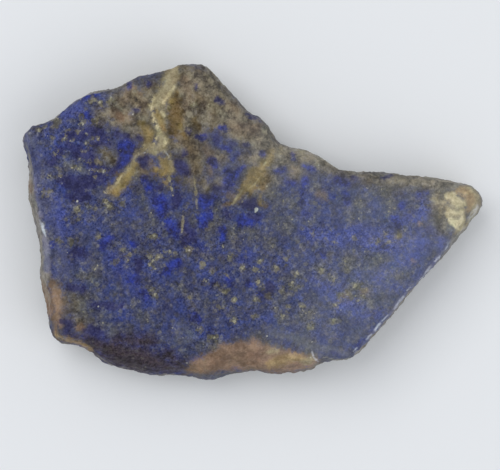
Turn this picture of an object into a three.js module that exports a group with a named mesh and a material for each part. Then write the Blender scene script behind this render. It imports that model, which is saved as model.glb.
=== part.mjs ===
// A rough slab of lapis lazuli: one piece of stone, lying on its back.
// The ground front face looks up (+Z). The outline has four corners, and each corner is the meeting
// of two of its four sides: east, north, west and south. The stone is a box, subdivided, whose faces
// are moulded on to that outline: a Coons patch for the front and the back, and a swept edge section
// for the rim between them. Millimetres. The origin is under the middle of the stone, on the surface
// that it rests on.
import * as THREE from "three";
import { ImprovedNoise } from "three/addons/math/ImprovedNoise.js";

// Driving dimensions.
const LENGTH = 75; // X, from the west side to the tip
const WIDTH = 51.5; // Y, from the south side to the peak
const THICKNESS = 12.5; // Z, at the thickest place
const TIP_TAPER = 0.036; // how much thinner the slab is for each millimetre towards the tip

// How finely the box is divided along X, Y and Z.
const COLUMNS = 44;
const ROWS = 30;
const RIM_ROWS = 10;

// The outline, seen from the front and going round anticlockwise. Each side starts at its corner.
const EAST = [
  [16.3, -21.9], [17.5, -20.9], [20.2, -17.8], [23.4, -14.1], [26.5, -10.5], [29.0, -7.6],
  [30.5, -6.1], [33.9, -2.3], [35.7, 0.1], [36.9, 1.8],
];
const NORTH = [
  [37.5, 3.7], [37.1, 4.8], [36.3, 5.5], [35.0, 6.1], [32.3, 6.5], [31.3, 6.9], [29.2, 7.2],
  [24.0, 7.4], [22.6, 7.8], [17.5, 8.1], [15.8, 8.0], [13.4, 8.7], [12.6, 9.4], [9.5, 11.2],
  [7.7, 11.8], [4.6, 12.4], [3.5, 13.6], [2.8, 15.0], [1.2, 16.7], [-1.3, 18.2], [-1.9, 19.1],
  [-3.0, 20.1], [-3.7, 21.2], [-5.7, 23.1], [-7.4, 25.3], [-8.6, 25.7], [-10.2, 25.6],
  [-13.8, 24.4], [-19.6, 23.0], [-21.9, 21.7], [-26.1, 21.1], [-27.4, 20.4], [-30.0, 18.1],
  [-33.0, 15.9], [-36.2, 15.4],
];
const WEST = [
  [-37.5, 13.6], [-37.3, 12.1], [-36.7, 10.0], [-36.5, 5.0], [-36.2, 2.4], [-35.1, -2.6],
  [-34.7, -6.5], [-34.8, -8.8], [-34.4, -10.9], [-33.8, -12.7], [-33.5, -14.7],
];
const SOUTH = [
  [-32.2, -18.6], [-31.2, -19.3], [-29.7, -19.9], [-28.2, -19.9], [-27.1, -20.7], [-26.0, -21.2],
  [-24.7, -22.5], [-18.7, -24.4], [-16.4, -24.9], [-9.9, -25.3], [-7.9, -25.7], [-6.3, -25.6],
  [-1.7, -24.4], [0.5, -24.2], [2.2, -24.6], [5.1, -24.6], [9.3, -24.1], [10.9, -22.8],
  [14.5, -22.5],
];
const SIDES = [EAST, NORTH, WEST, SOUTH];

// The edge section at stations round the rim. "at" counts sides: 0 is the start of the east side,
// 1 the tip, 2 the start of the west side, 3 that of the south side. "front" is how far in the front
// face begins to fall away, "crisp" how square that edge is (1 is a straight chamfer, 2 is round),
// "under" how far in the back comes down to the level of its own face, "waist" is the height of
// the widest line as a share of the thickness, and "broken" how lumpy the rim is (0 is sawn).
const EDGE_STATIONS = [
  { at: 0.0, front: 2.0, crisp: 2.0, under: 5.5, waist: 0.42, broken: 0.5 },
  { at: 0.12, front: 0.9, crisp: 2.2, under: 4.0, waist: 0.4, broken: 0.15 },
  { at: 0.6, front: 0.9, crisp: 2.2, under: 3.2, waist: 0.36, broken: 0.15 },
  { at: 0.8, front: 1.9, crisp: 1.4, under: 3.4, waist: 0.34, broken: 0.3 },
  { at: 1.0, front: 2.6, crisp: 2.0, under: 4.6, waist: 0.42, broken: 0.8 },
  { at: 1.12, front: 1.7, crisp: 2.0, under: 4.8, waist: 0.52, broken: 1.0 },
  { at: 1.34, front: 2.4, crisp: 2.0, under: 6.0, waist: 0.55, broken: 1.0 },
  { at: 1.47, front: 1.6, crisp: 2.2, under: 5.0, waist: 0.52, broken: 1.0 },
  { at: 1.63, front: 2.0, crisp: 2.0, under: 4.4, waist: 0.56, broken: 1.0 },
  { at: 1.8, front: 1.4, crisp: 2.2, under: 5.2, waist: 0.6, broken: 1.0 },
  { at: 1.92, front: 1.6, crisp: 2.2, under: 5.0, waist: 0.52, broken: 1.0 },
  { at: 2.0, front: 2.3, crisp: 1.8, under: 4.0, waist: 0.4, broken: 1.0 },
  { at: 2.3, front: 1.9, crisp: 1.25, under: 2.6, waist: 0.26, broken: 1.0 },
  { at: 2.75, front: 2.2, crisp: 1.3, under: 2.8, waist: 0.28, broken: 1.0 },
  { at: 3.0, front: 3.2, crisp: 1.8, under: 4.2, waist: 0.42, broken: 1.0 },
  { at: 3.22, front: 6.4, crisp: 1.9, under: 5.5, waist: 0.4, broken: 1.0 },
  { at: 3.45, front: 6.8, crisp: 1.8, under: 4.5, waist: 0.32, broken: 1.0 },
  { at: 3.6, front: 5.8, crisp: 1.5, under: 4.2, waist: 0.36, broken: 1.0 },
  { at: 3.82, front: 5.2, crisp: 1.5, under: 4.6, waist: 0.4, broken: 1.0 },
  { at: 3.9, front: 2.6, crisp: 1.9, under: 5.2, waist: 0.44, broken: 1.0 },
];

// The west end of the front is a facet of its own, which falls gently outwards from a straight line.
const WEST_FACET_LINE = -30.5; // X where it begins
const WEST_FACET_FALL = 0.11; // how steeply it falls, as rise over run

// The back is broken, not ground: it rises from the flat spot that the stone rests on.
const FLAT_SPOT = { x: -5.5, y: -1.5, halfLength: 24, halfWidth: 13.5 };
const BACK_RISE = 2.4; // height gained by the time the flat spot's reach is doubled, on average
const BACK_LIMIT = 3.1; // the back rises no higher than this

// Unevenness: how deep and how wide the hollows are.
const FRONT_WAVES = { depth: 0.22, spacing: 13 };
const RIM_LUMPS = { depth: 0.55, spacing: 6.5 };
const RIM_CHIPS = { depth: 0.3, spacing: 2.6 };
const BACK_HOLLOWS = { depth: 0.9, spacing: 9 };
const BACK_LAYER = 40; // Z at which the back reads the noise, away from what the front reads
const NOISE_ORIGIN = new THREE.Vector3(7.3, -2.1, 11.7); // where in the noise the stone sits
const NOISE_GAIN = 1.6; // widens the noise's own range to about plus and minus one

const BACK_CRISP = 1.6; // how square the back's edge is, on the same scale as "crisp"
const MIDDLE = new THREE.Vector3(-3, -1, 0); // of the outline, for measuring how far in a point is
const STONE_BLUE = 0x39437c;

const noise = new ImprovedNoise();

/** Smooth unevenness at a place, between plus and minus the depth. */
function uneven({ depth, spacing }, x, y, z) {
  const place = new THREE.Vector3(x, y, z).divideScalar(spacing).add(NOISE_ORIGIN);
  return depth * NOISE_GAIN * noise.noise(place.x, place.y, place.z);
}

/** One curve for each side, cut out of a single closed curve so that the corners stay rounded. */
function sideCurves() {
  const points = SIDES.flat().map(([x, y]) => new THREE.Vector3(x, y, 0));
  const outline = new THREE.CatmullRomCurve3(points, true, "centripetal");
  const stepsPerPoint = 8;
  let first = 0;
  return SIDES.map((side) => {
    const steps = side.length * stepsPerPoint;
    const samples = [];
    for (let i = 0; i <= steps; i += 1) {
      samples.push(outline.getPoint(((first + i / stepsPerPoint) / points.length) % 1));
    }
    first += side.length;
    const curve = new THREE.CatmullRomCurve3(samples);
    curve.arcLengthDivisions = steps * 2;
    return curve;
  });
}

const curves = sideCurves();

/** The outline's point at a place round the rim, counted in sides and measured by length. */
function outlineAt(at) {
  const round = THREE.MathUtils.euclideanModulo(at, curves.length);
  const side = Math.min(Math.floor(round), curves.length - 1);
  return curves[side].getPointAt(Math.min(round - side, 1));
}

/** The Coons patch spanned by the four sides, over the square from -1 to 1. */
function patch(x, y) {
  const across = (x + 1) / 2;
  const up = (y + 1) / 2;
  const point = new THREE.Vector3();
  point.addScaledVector(outlineAt(borderPlace(x, -1)), 1 - up);
  point.addScaledVector(outlineAt(borderPlace(x, 1)), up);
  point.addScaledVector(outlineAt(borderPlace(-1, y)), 1 - across);
  point.addScaledVector(outlineAt(borderPlace(1, y)), across);
  for (const [cornerX, cornerY] of [[-1, -1], [1, -1], [-1, 1], [1, 1]]) {
    const weight = (cornerX < 0 ? 1 - across : across) * (cornerY < 0 ? 1 - up : up);
    point.addScaledVector(outlineAt(borderPlace(cornerX, cornerY)), -weight);
  }
  return point;
}

/** The edge section's values at a place round the rim, blended smoothly between two stations. */
function edgeAt(at) {
  const round = THREE.MathUtils.euclideanModulo(at, curves.length);
  const last = EDGE_STATIONS.length - 1;
  let i = EDGE_STATIONS.findLastIndex((station) => station.at <= round);
  i = i < 0 ? last : i;
  const from = EDGE_STATIONS[i];
  const to = EDGE_STATIONS[(i + 1) % EDGE_STATIONS.length];
  const gap = THREE.MathUtils.euclideanModulo(to.at - from.at, curves.length);
  const share = THREE.MathUtils.smoothstep((round - from.at) / gap, 0, 1);
  const mix = (key) => THREE.MathUtils.lerp(from[key], to[key], share);
  return {
    front: mix("front"),
    crisp: mix("crisp"),
    under: mix("under"),
    waist: mix("waist"),
    broken: mix("broken"),
  };
}

/** Place round the rim of a point on the border of the square from -1 to 1. */
function borderPlace(x, y) {
  const share = (value) => (value + 1) / 2;
  if (x >= 1) return share(y);
  if (y >= 1) return 1 + share(-x);
  if (x <= -1) return 2 + share(-y);
  return 3 + share(x);
}

/** Height of the front face. */
function frontHeight(x, y) {
  const taper = TIP_TAPER * (x + LENGTH / 2);
  const facet = WEST_FACET_FALL * Math.max(0, WEST_FACET_LINE - x);
  return THICKNESS - taper - facet + uneven(FRONT_WAVES, x, y, 0);
}

/** Height of the underside: zero on the flat spot, and broken and higher all round it. */
function backHeight(x, y) {
  const away = Math.hypot(
    (x - FLAT_SPOT.x) / FLAT_SPOT.halfLength,
    (y - FLAT_SPOT.y) / FLAT_SPOT.halfWidth,
  );
  const rise = BACK_RISE * (away - 1) + uneven(BACK_HOLLOWS, x, y, BACK_LAYER);
  return THREE.MathUtils.clamp(rise, 0, BACK_LIMIT);
}

/**
 * Where a vertex of the box from -1 to 1 ends up on the stone. Its turn round the edge section is
 * +90 degrees on the front face, 0 at the widest line and -90 degrees on the back.
 */
function mould(x, y, z) {
  const ring = Math.max(Math.abs(x), Math.abs(y), Number.EPSILON);
  const at = borderPlace(x / ring, y / ring);
  const edge = edgeAt(at);
  const turn = (z * Math.PI) / 2;
  const inFront = turn >= 0;
  const reach = inFront ? edge.front : edge.under;
  const power = 2 / (inFront ? edge.crisp : BACK_CRISP);
  const inset = reach * (1 - Math.pow(Math.max(0, Math.cos(turn)), power));
  const shrink = 1 - inset / outlineAt(at).distanceTo(MIDDLE);
  const point = patch(x * shrink, y * shrink);
  const face = inFront ? frontHeight(point.x, point.y) : backHeight(point.x, point.y);
  const level = Math.pow(Math.sin(Math.abs(turn)), power);
  point.z = THREE.MathUtils.lerp(edge.waist * THICKNESS, face, level);
  // Lumps and chips fade out at the widest line and at both faces.
  const bare = edge.broken * Math.sin(Math.abs(turn) * 2);
  const lump = uneven(RIM_LUMPS, point.x, point.y, point.z);
  const chip = uneven(RIM_CHIPS, point.x, point.y, point.z);
  const inward = MIDDLE.clone().sub(point).setZ(0).normalize();
  return point.addScaledVector(inward, bare * (lump + chip));
}

/** Snaps a box coordinate to its grid, so that vertices shared by two faces stay together. */
function snap(value, cells) {
  return Math.round(((value + 1) / 2) * cells) * (2 / cells) - 1;
}

/** The moulded stone, sized to the driving dimensions, standing on Z = 0 over the origin. */
function stoneGeometry() {
  const geometry = new THREE.BoxGeometry(2, 2, 2, COLUMNS, ROWS, RIM_ROWS);
  const position = geometry.getAttribute("position");
  for (let i = 0; i < position.count; i += 1) {
    const x = snap(position.getX(i), COLUMNS);
    const y = snap(position.getY(i), ROWS);
    const z = snap(position.getZ(i), RIM_ROWS);
    const point = mould(x, y, z);
    position.setXYZ(i, point.x, point.y, point.z);
  }
  geometry.computeBoundingBox();
  const { min, max } = geometry.boundingBox;
  geometry.translate(-(min.x + max.x) / 2, -(min.y + max.y) / 2, -min.z);
  geometry.scale(LENGTH / (max.x - min.x), WIDTH / (max.y - min.y), THICKNESS / (max.z - min.z));
  geometry.computeVertexNormals();
  return geometry;
}

const stone = new THREE.Mesh(
  stoneGeometry(),
  new THREE.MeshStandardMaterial({ color: STONE_BLUE, roughness: 0.55, metalness: 0 }),
);
stone.name = "stone";

const part = new THREE.Group();
part.add(stone);

export default part;
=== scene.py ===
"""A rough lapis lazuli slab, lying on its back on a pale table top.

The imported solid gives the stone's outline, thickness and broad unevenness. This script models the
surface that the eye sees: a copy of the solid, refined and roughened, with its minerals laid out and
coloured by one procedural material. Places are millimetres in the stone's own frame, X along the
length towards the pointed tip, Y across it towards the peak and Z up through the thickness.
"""

import logging
import math
from collections.abc import Callable
from dataclasses import dataclass
from enum import Enum

import bmesh
import bpy
import numpy as np
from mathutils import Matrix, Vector, noise


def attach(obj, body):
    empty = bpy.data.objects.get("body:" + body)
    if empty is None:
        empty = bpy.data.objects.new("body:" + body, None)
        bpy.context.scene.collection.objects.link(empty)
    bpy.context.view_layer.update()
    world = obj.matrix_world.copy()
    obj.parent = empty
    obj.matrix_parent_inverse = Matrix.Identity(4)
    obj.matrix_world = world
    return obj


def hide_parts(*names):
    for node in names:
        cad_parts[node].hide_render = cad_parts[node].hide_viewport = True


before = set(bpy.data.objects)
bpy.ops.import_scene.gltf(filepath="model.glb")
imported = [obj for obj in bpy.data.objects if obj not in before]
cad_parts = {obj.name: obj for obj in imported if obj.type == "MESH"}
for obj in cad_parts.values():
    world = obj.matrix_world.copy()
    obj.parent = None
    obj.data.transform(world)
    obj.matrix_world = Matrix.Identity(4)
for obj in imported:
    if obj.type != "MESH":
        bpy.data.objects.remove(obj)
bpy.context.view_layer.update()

LOG = logging.getLogger("lapis")
MM = 0.001  # a millimetre, in metres
TENTH = 0.1  # the unit of the strokes and grains, in millimetres
SHEEN = 0.012  # what the gloss adds to a colour, in linear light

Colour = tuple[float, float, float, float]
Span = tuple[float, float]
Point = tuple[float, float, float]
Stroke = tuple[Point, ...]
Stops = tuple[tuple[float, str], ...]


class Mineral(Enum):
    """What the stone shows where it isn't plain blue, named as a collector would; some are painted light."""

    ROYAL = "royal"
    NAVY = "navy"
    # Painted sheen: a pale slate haze over facets that catch the light.
    SLATE_SHEEN = "slate"
    AZURE = "azure"
    # Dark tone of the lower left: partly the stone's own, partly painted shade where the surface curves
    # away.
    DUSK_SHADOW = "dusk"
    OLIVE = "olive"
    ROCK = "rock"
    GREY = "grey"
    CRUST = "crust"
    LILAC = "lilac"
    # Pale chalky marks, and a dashed painted highlight along the lower right edge where it catches the
    # light.
    CHALK_AND_SHINE = "chalk"
    TAUPE = "taupe"
    LOAM = "loam"
    TAN = "tan"
    UMBER = "umber"
    OCHRE = "ochre"
    RUST = "rust"
    BONE = "bone"
    CREAM = "cream"
    THREAD = "thread"
    # Painted shade: dark spots for the shade inside small pits of the front face.
    PIT_SHADE = "pit"
    # Painted sheen: a faint pale haze over the tip half of the front face.
    PALE_SHEEN = "pale"
    FLECK = "fleck"
    # Painted highlights: tiny bright points where crystals catch the light.
    PAINTED_GLINT = "glint"


# Each stroke is a chain of (x, y, half width) in tenths of a millimetre, laid on the front face like
# the stroke of a brush. One with a half width below zero shows as faint, broken marks.
STROKES: dict[Mineral, tuple[Stroke, ...]] = {
    Mineral.ROYAL: (
        ((-204, 119, 14), (-204, 106, 11), (-216, 90, 5)), ((-122, -66, 7), (-136, -76, 7), (-142, -85, 4)),
        ((-175, 69, 6), (-167, 52, 5)), ((-324, -37, 4), (-321, -38, 3)), ((-233, -26, 8), (-243, -39, 6)),
        ((-151, 34, 10), (-149, 13, 6)), ((-268, 172, 6), (-262, 164, 5)), ((-272, 202, 4), (-254, 206, 4)),
        ((-134, -3, 9), (-128, -14, 9), (-123, -25, 4)), ((-70, 12, 7), (-79, 6, 10), (-80, -6, 5)),
        ((-78, 29, 8), (-73, 38, 4)), ((-40, -94, 5), (-36, -98, 4)), ((-49, 120, 3), (-38, 117, 3)),
        ((-42, 82, 4), (-32, 73, 6), (-22, 84, 3), (-14, 90, 2)), ((85, 70, 5), (83, 56, 4), (80, 46, 1)),
        ((-43, 66, 5), (-36, 69, 5)), ((-66, 98, 7), (-61, 88, 4)), ((80, 32, 3.5), (87, 30, 3)),
        ((-31, 103, 3), (-22, 111, 2)), ((-93, -153, 6), (-88, -159, 4)), ((-86, 136, 4), (-79, 138, 3.5)),
        ((-49, -15, 7), (-49, -27, 4)), ((-53, 153, 3.5), (-45, 150, 4)), ((170, -203, 4), (180, -194, 3)),
        ((-17, 2, 9), (-3, -1, 7)), ((57, 64, 4), (65, 62, 4)), ((86, 15, 4), (87, 12, 3)),
        ((-198, -36, 5), (-192, -39, 5)), ((-6, -101, 4), (0, -103, 3)), ((-170, 225, 2.5), (-168, 222, 2)),
        ((130, 41, 3.5), (134, 38, 3)), ((-198, -96, 4), (-192, -86, 5)), ((-200, 224, 3), (-200, 217, 3)),
        ((151, 45, 4), (153, 32, 4)), ((138, 69, 5), (152, 62, 4)), ((241, 26, 5), (244, 19, 4)),
        ((229, 5, 5), (237, -7, 5)), ((15, 111, 4), (18, 108, 3)), ((-46, 64, 4), (-34, 62, 4)),
        ((212, -40, 5), (217, -42, 4)), ((186, -41, 4), (191, -40, 3)), ((268, 45, 2.5), (283, 47, 3)),
        ((65, 110, 3), (66, 102, 3.5)), ((113, -48, 4), (114, -56, 4)), ((11, -117, 4), (14, -120, 3)),
        ((36, 82, 3), (51, 85, 4)), ((84, 91, 3), (98, 85, 3)),
        ((-178, -114, 5), (-172, -124, 4)), ((-84, 40, 5), (-74, 30, 6), (-64, 40, 5)),
    ),
    Mineral.NAVY: (
        ((-310, 134, 5), (-286, 142, 9), (-256, 144, 10), (-238, 134, 6)), ((-299, 127, 4), (-292, 120, 5)),
        ((-324, 96, 5), (-312, 116, 6)), ((-288, -52, 6), (-278, -50, 6)), ((-188, -96, 3), (-186, -68, 6)),
        ((-280, 118, 7), (-266, 102, 8), (-258, 86, 6)), ((-258, 127, 5), (-242, 130, 4), (-228, 122, 2)),
        ((-246, 86, 5), (-226, 82, 5), (-210, 92, 4)), ((-260, -132, 3), (-242, -136, 5), (-214, -138, 6)),
        ((-308, 66, 8), (-280, 58, 12), (-248, 68, 9)), ((-309, -161, 4), (-294, -165, 5), (-302, -174, 4)),
        ((-298, 42, 5), (-286, 36, 5)), ((-286, 116, 5), (-284, 106, 5)), ((-103, -30, 1.5), (-97, -29, 2)),
        ((-282, 149, 3), (-256, 150, 5), (-246, 146, 4)), ((-183, 104, 6), (-177, 100, 9.5), (-174, 93, 6)),
        ((-264, 112, 7), (-258, 90, 6)), ((-108, 148, 4), (-104, 145, 4)), ((-91, 138, 3), (-83, 135, 4.5)),
        ((-294, 65, 10), (-268, 62, 12), (-246, 72, 8)), ((-58, 146, 4), (-61, 134, 4.5), (-58, 126, 4)),
        ((-278, 39, 6), (-268, 44, 5)), ((-14, 125, 3), (-7, 125, 3.5)), ((-220, 143, 4), (-206, 139, 4)),
        ((-125, 27, 5), (-122, 43, 5)), ((-157, 50, 3), (-147, 59, 4)), ((27, -104, 8), (22, -119, 6)),
        ((-106, -10, 6), (-99, -16, 7)), ((-112, 116, 4), (-110, 110, 4)), ((-186, 136, 4), (-178, 133, 3)),
        ((-111, -26, 1.5), (-108, -36, 2.5)), ((-14, 30, 4), (0, 26, 7), (3, 36, 3)),
        ((-263, -173, 6), (-245, -181, 7)), ((130, -212, 4), (137, -214, 3.5)), ((-43, 16, 3), (-39, 8, 4)),
        ((-59, 53, 4), (-42, 56, 5)), ((-73, 19, 3), (-69, 24, 4)), ((-34, 128, 4), (-28, 126, 4)),
        ((-6, 8, 5), (8, 6, 6)), ((-91, 222, 3.5), (-90, 216, 3.5)), ((-192, 182, 3.5), (-186, 181, 3)),
        ((-149, 111, 1.5), (-146, 109, 2)), ((-294, -106, 5), (-278, -110, 6)), ((-8, 174, 4), (4, 168, 3)),
        ((162, 72, 3), (168, 70, 3)), ((223, 74, 4), (212, 70, 3)),
        ((287, -14, 5), (294, -17, 4)), ((-57, 197, 4), (-50, 194, 4)), ((-52, 152, 4), (-42, 150, 4)),
        ((-124, 94, 6), (-114, 88, 10), (-108, 82, 7)), ((-270, -176, 4), (-254, -176, 6), (-240, -180, 4)),
    ),
    # Painted sheen: a pale slate haze over facets that catch the light.
    Mineral.SLATE_SHEEN: (
        ((-360, 132, 12), (-352, 90, 19), (-342, 50, 22), (-330, 10, 20), (-320, -40, 16)),
        ((-316, -60, 13), (-306, -84, 11)), ((-364, 142, 12), (-356, 130, 10)),
        ((-274, -64, 9), (-264, -62, 7)), ((-326, 158, 8), (-308, 166, 8)), ((312, -32, 3), (304, -46, 4)),
        ((-298, 180, 8), (-280, 196, 9)), ((286, 36, 4), (290, 28, 4)),
    ),
    Mineral.AZURE: (
        ((80, -16, 7), (120, -28, 13), (170, -20, 15), (220, -34, 17), (270, -32, 18)),
        ((270, -32, 18), (250, -64, 10), (204, -90, 10)), ((-316, 30, 8), (-304, -14, 9)),
        ((102, -90, 8), (120, -110, 10), (174, -146, 13), (204, -150, 9)), ((224, -104, 8), (244, -106, 6)),
        ((242, 6, 8), (274, 10, 10), (284, 36, 8)), ((-224, -60, 8), (-204, -90, 10), (-186, -110, 7)),
        ((-146, 36, 6), (-140, 24, 5)), ((296, -16, 7), (306, -36, 6)), ((-88, -38, 8), (-76, -46, 6)),
        ((-302, 174, 7), (-284, 184, 11), (-274, 168, 9), (-262, 162, 6)), ((-272, 172, 9), (-258, 160, 7)),
        ((88, 42, 6), (88, 14, 8)), ((272, 38, 5), (288, 36, 6)),
        ((-162, 38, 6), (-160, 26, 5)), ((-16, -64, 8), (-6, -54, 6)), ((-194, 14, 5), (-182, 8, 5)),
    ),
    # Dark tone of the lower left: partly the stone's own, partly painted shade where the surface curves
    # away.
    Mineral.DUSK_SHADOW: (
        ((-306, -182, 4), (-274, -190, 9), (-246, -204, 14), (-216, -212, 20), (-180, -222, 20)),
        ((-180, -222, 20), (-144, -234, 14), (-120, -240, 8)), ((-224, -192, 9), (-166, -194, 10)),
        ((-256, -214, 8), (-220, -228, 12), (-180, -240, 12)), ((-214, -84, -8), (-212, -142, -8)),
        ((-138, -214, 10), (-126, -228, 10), (-108, -240, 7)), ((-122, 64, -2), (-106, 60, -2)),
        ((-118, 90, 2), (-108, 84, 3)), ((-114, -6, 5), (-108, -22, 5)),
    ),
    Mineral.OLIVE: (
        ((98, 69, 6), (97, 52, 5)), ((2, -14, 8), (16, -20, 6)), ((260, 46, 5), (264, 30, 6)),
        ((193, 62, 7), (204, 68, 6)), ((212, 49, 6), (219, 44, 6)), ((242, 64, 8), (252, 48, 7)),
        ((171, 29, 5), (166, 13, 8), (174, 5, 6)), ((302, 45, 6), (303, 28, 10), (305, 6, 9), (308, -9, 5)),
        ((210, 27, 8), (229, 24, 9)), ((32, -37, 6), (40, -43, 5)), ((-26, 56, 5), (-22, 66, 5)),
        ((93, 11, 6), (97, 0, 6)), ((24, 64, 7), (36, 66, 6)), ((34, 46, 4), (26, 40, 5)),
        ((59, 3, 6), (60, -12, 6), (72, -24, 8)), ((-288, -118, 10), (-270, -134, 15), (-266, -152, 13)),
        ((55, 28, 5), (75, 25, 6), (88, 26, 3)), ((146, -120, 4), (166, -106, 5), (184, -114, 5)),
        ((-164, 30, 6), (-164, 17, 6)), ((-176, 46, 6), (-172, 40, 5)), ((-166, -4, 6), (-146, -6, 5)),
        ((-139, 10, 5), (-128, 9, 6)), ((108, -74, 6), (112, -84, 4)), ((126, -90, 5), (130, -98, 4)),
        ((-172, -14, 5), (-180, -10, 4)), ((182, -66, 9), (208, -64, 10)), ((-84, -202, 8), (-68, -200, 7)),
        ((-69, -6, 7), (-66, -22, 6)), ((-236, 11, 6), (-229, 2, 6)), ((-94, -6, 4), (-87, -14, 5)),
        ((-58, 11, 7), (-54, 7, 5)), ((-249, -156, 5), (-246, -165, 5)), ((-116, -109, 4), (-109, -111, 3)),
        ((-32, -16, 6), (-14, -18, 7)), ((150, -64, 5), (160, -66, 6)), ((124, -52, 4), (123, -64, 4)),
        ((226, -90, 11), (254, -88, 8)), ((196, -134, 7), (210, -124, 4)), ((-272, -88, 6), (-266, -90, 6)),
        ((83, -144, 5), (88, -156, 6), (72, -163, 5)), ((-193, -140, 4), (-180, -150, 4), (-172, -156, 5)),
        ((-229, -6, 5), (-222, -14, 5)), ((-251, -72, 3), (-249, -94, 3)), ((-115, -13, 3), (-112, -20, 3)),
    ),
    Mineral.ROCK: (
        ((-104, 236, 16), (-84, 222, 28), (-64, 196, 28), (-40, 170, 25), (-14, 152, 25)),
        ((-12, 150, 24), (12, 136, 22), (26, 122, 14)), ((26, 86, 4), (24, 70, 9), (16, 58, 6), (2, 50, 4)),
        ((-112, 204, 19), (-106, 170, 24), (-102, 142, 22), (-96, 114, 14), (-90, 84, 10)),
        ((-74, 166, 16), (-42, 159, 9)), ((-199, 216, 9), (-188, 196, 16), (-179, 174, 15), (-168, 214, 9)),
        ((-252, 165, 4), (-240, 174, 9), (-224, 179, 14), (-209, 186, 16), (-204, 158, 12)),
        ((-222, 164, 7), (-202, 158, 9), (-188, 154, 7)), ((-243, 113, 3), (-236, 108, 6), (-227, 99, 4)),
        ((-222, 202, 6), (-208, 202, 8)), ((-194, 146, 5), (-184, 142, 5)), ((-190, 80, 3), (-178, 83, 1)),
        ((64, 89, 6), (72, 81, 7), (62, 77, 4)), ((300, 46, 7), (304, 20, 8), (309, 4, 9), (310, -10, 7)),
        ((30, 98, 5), (46, 97, 6), (56, 99, 6)), ((-16, 104, 5), (-4, 100, 8), (8, 102, 8)),
        ((-106, 69, 2), (-98, 66, 4)), ((-80, 66, 6), (-76, 56, 6)), ((-126, 124, 8), (-116, 119, 7)),
        ((-60, 106, 4), (-50, 106, 5)), ((-146, 206, 5), (-148, 186, 12), (-148, 166, 12), (-146, 150, 8)),
        ((-56, 66, 4), (-52, 62, 4)), ((334, 50, 5), (342, 48, 6)),
        ((26, 120, 12), (56, 110, 11), (94, 104, 9), (120, 92, 7), (140, 83, 6)),
        ((126, 86, 5), (160, 78, 5), (200, 72, 8), (240, 68, 10), (280, 65, 10), (320, 62, 7)),
        ((-292, -122, 2), (-286, -138, 3)), ((-290, -156, 3), (-278, -163, 3)),
    ),
    Mineral.GREY: (
        ((26, -180, 4), (44, -183, 5), (68, -190, 5), (100, -202, 5), (136, -209, 4)),
        ((136, -209, 4), (156, -215, 3)), ((-64, 194, 7), (-58, 180, 7)), ((-364, 144, 2), (-358, 128, 2)),
        ((286, 46, 1), (292, 32, 2)), ((23, 154, 5), (19, 142, 4)),
        ((316, 57, 5), (330, 56, 6), (344, 58, 3)), ((-123, -180, 1.5), (-122, -192, 2)),
        ((368, 24, 3), (358, 8, 6), (344, -10, 7), (332, -26, 7), (322, -38, 4)),
        ((-76, 249, 4), (-60, 231, 6), (-44, 215, 5), (-26, 196, 4), (-10, 180, 3)),
        ((-50, 205, 3), (-36, 202, 4)), ((-298, 94, 5), (-290, 88, 5)), ((-281, 89, 5), (-275, 82, 4)),
        ((-229, -180, 5), (-227, -175, 4)), ((-109, -194, 2), (-100, -190, 2)),
        ((-108, -172, 2.5), (-102, -182, 3.5), (-94, -185, 3.5)), ((-120, -166, 2.5), (-114, -167, 2)),
        ((-89, -249, 3), (-70, -253, 4), (-46, -249, 3), (-24, -244, 1.5), (4, -242, 1)),
    ),
    Mineral.CRUST: (
        ((-364, 86, 5), (-361, 60, 8), (-358, 36, 8), (-353, 14, 8), (-347, -8, 9)),
        ((-347, -8, 9), (-342, -30, 10), (-340, -60, 10), (-338, -86, 9), (-336, -100, 6)),
        ((366, 22, 3), (356, 6, 5), (344, -10, 6), (332, -26, 6), (323, -36, 4)),
        ((323, -38, 3), (308, -56, 1.2), (284, -86, 1)), ((208, -170, 1), (186, -194, 1.5), (168, -213, 2)),
        ((264, -106, 1.5), (256, -116, 3), (244, -128, 2), (226, -148, 1.2)), ((44, 109, 4), (54, 108, 4)),
        ((34, 124, 3), (48, 117, 7), (74, 115, 7), (94, 108, 6), (112, 100, 5), (130, 90, 4)),
        ((28, 95, 2), (44, 95, 3), (56, 99, 3)), ((292, 44, 1), (297, 26, 2), (306, 4, 1), (314, -12, 1)),
        ((32, 74, 1), (40, 62, 2)),
        ((-4, 136, 2), (18, 134, 4), (24, 124, 4)), ((-339, -102, 1), (-335, -122, 2), (-332, -142, 1)),
        ((2, 112, 3), (8, 103, 4), (4, 120, 3)), ((30, 86, 1), (42, 89, 3), (50, 92, 2)),
        ((102, 96, 3), (116, 89, 3)), ((-236, 166, 1), (-226, 161, 2)), ((104, 90, 3), (124, 82, 2)),
        ((240, 67, 4), (276, 64, 7), (310, 61, 8), (338, 60, 6)), ((44, 104, 1), (70, 104, 1), (96, 95, 1)),
    ),
    Mineral.LILAC: (
        ((-353, 76, 2), (-349, 40, 2), (-343, 10, 2)), ((226, -144, 1.5), (192, -184, 2), (166, -212, 2.5)),
        ((-338, -22, 3), (-335, -40, 5), (-334, -64, 5), (-333, -80, 3)), ((-366, 146, 1), (-362, 126, 1)),
        ((320, -32, 2.5), (306, -52, 2), (284, -77, 2), (260, -104, 1.5), (226, -144, 1.5)),
        ((-334, 19, -0.4), (-300, 26, 0.2), (-267, 32, -0.4)), ((-364, 98, 1), (-360, 80, 2)),
    ),
    # Pale chalky marks, and a dashed painted highlight along the lower right edge where it catches the
    # light.
    Mineral.CHALK_AND_SHINE: (
        ((352, 6, 2), (360, 16, 4), (366, 26, 2.5)), ((244, -121, 0.8), (237, -131, 0.6), (229, -141, 0.4)),
        ((-344, 4, 0.6), (-340, -6, 1.6), (-338, -16, 1.4), (-335, -24, 0.6)),
        ((317, -34, 0.6), (312, -44, 1)), ((303, -56, 1), (296, -64, 0.8)), ((355, 8, 0.5), (362, 13, 1.5)),
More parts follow.
